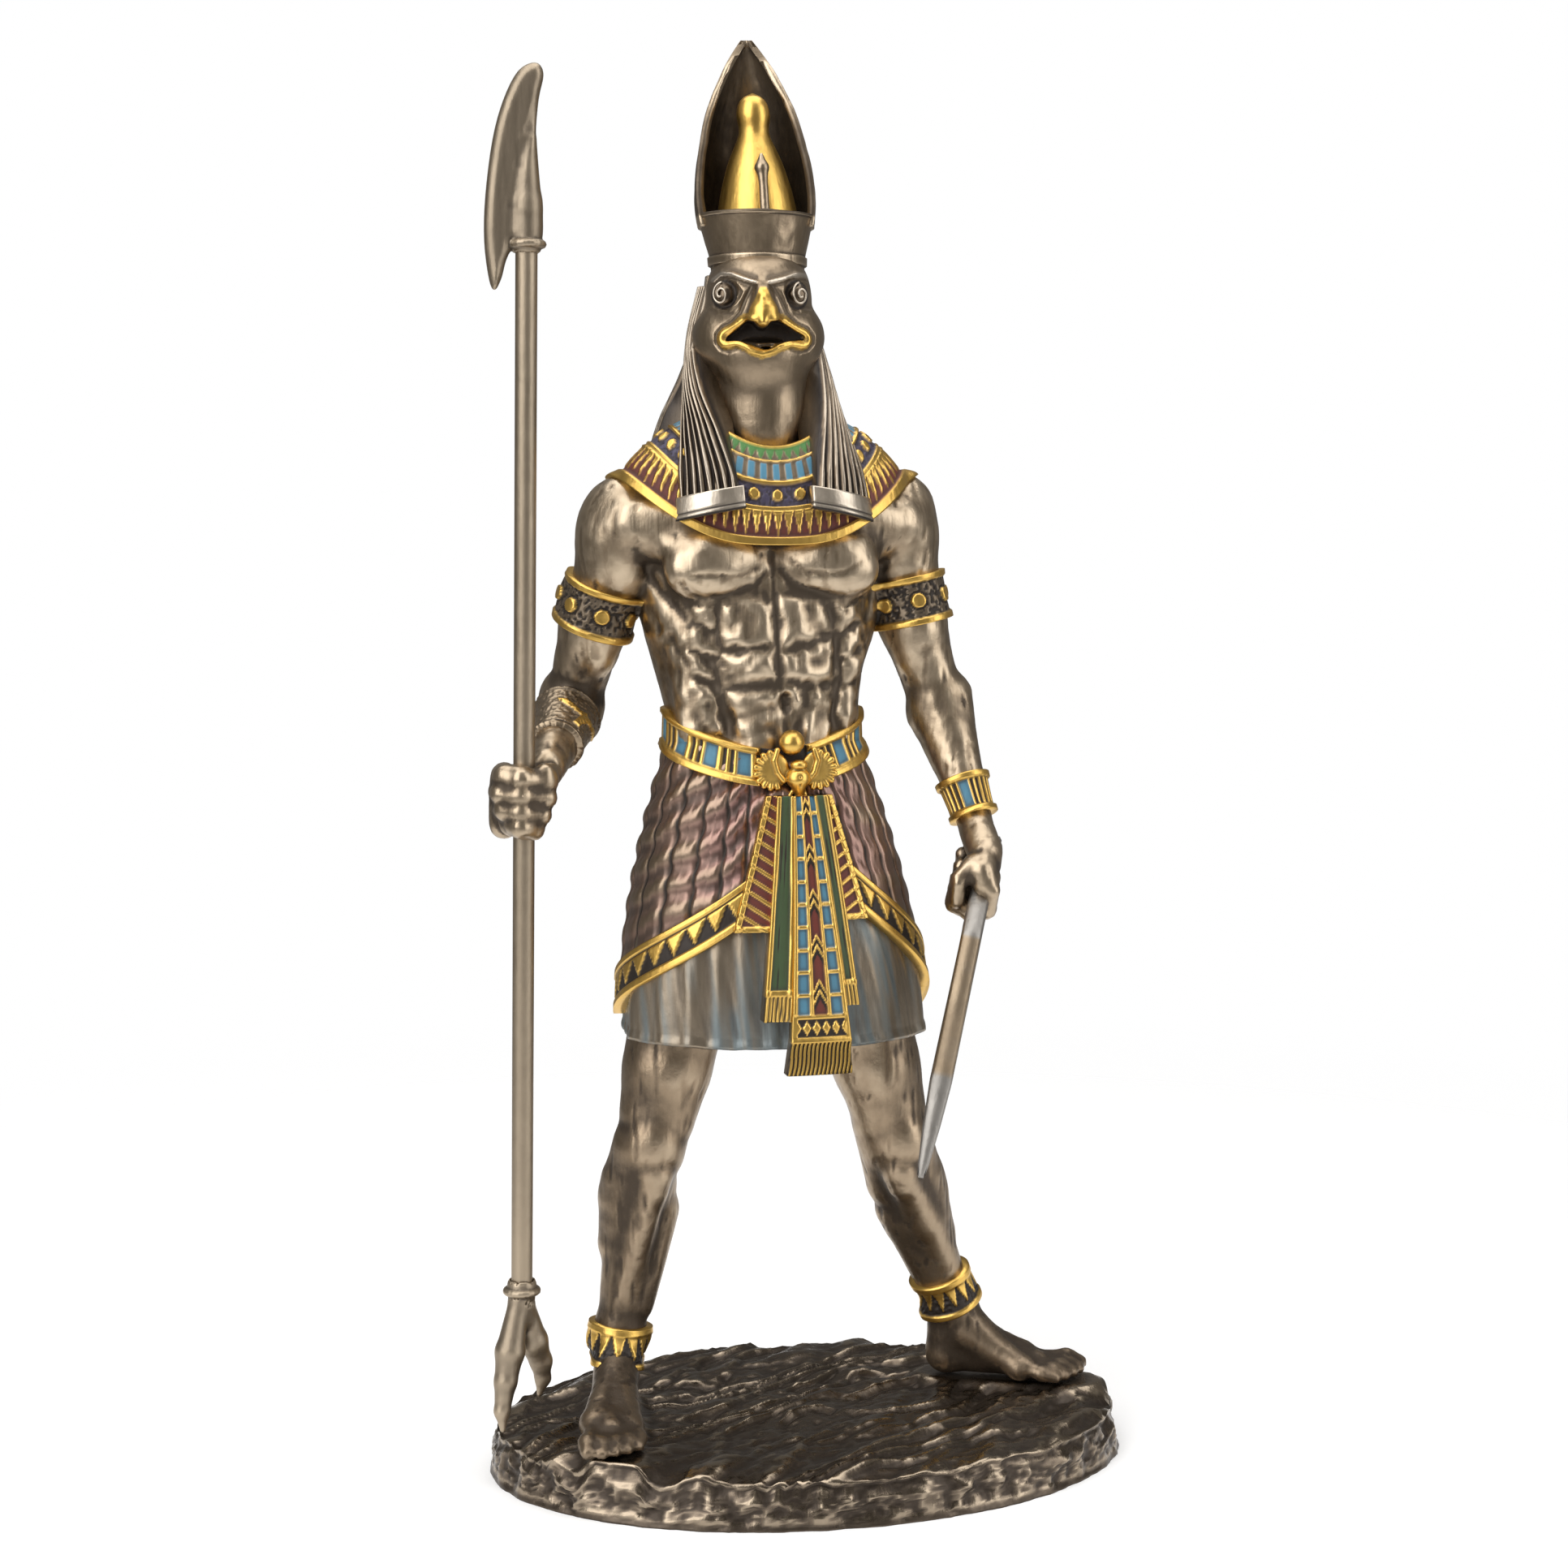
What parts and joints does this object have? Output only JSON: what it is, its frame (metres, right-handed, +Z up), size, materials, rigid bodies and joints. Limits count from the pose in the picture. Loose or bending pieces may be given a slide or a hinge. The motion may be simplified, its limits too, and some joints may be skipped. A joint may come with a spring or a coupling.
{
  "type": "horus falcon figure",
  "caption": "Standing falcon-headed god figure in pleated kilt and tall crown, holding a staff and a sickle sword, on an oval rock base.",
  "frame": {"origin": "centre of the oval base on its underside", "axes": "+Z up, -Y towards the front that the torso faces, +X towards the figure's left hand"},
  "size_m": [0.1396, 0.0946, 0.3021],
  "materials": {
    "bronze": "warm grey-brown cold-cast bronze, polished high spots, dark patina in the hollows, gold and enamel colours on the ornaments",
    "rock": "dark brown cold-cast bronze rock with light rubbed ridges",
    "staff": "satin champagne bronze",
    "blade": "brushed pewter-bronze with a bright bevelled tip"
  },
  "bodies": {
    "root": {"figure": "bronze", "base": "rock", "staff_shaft": "staff", "staff_head": "staff", "staff_fork": "staff", "khopesh": "blade"}
  },
  "joints": []
}
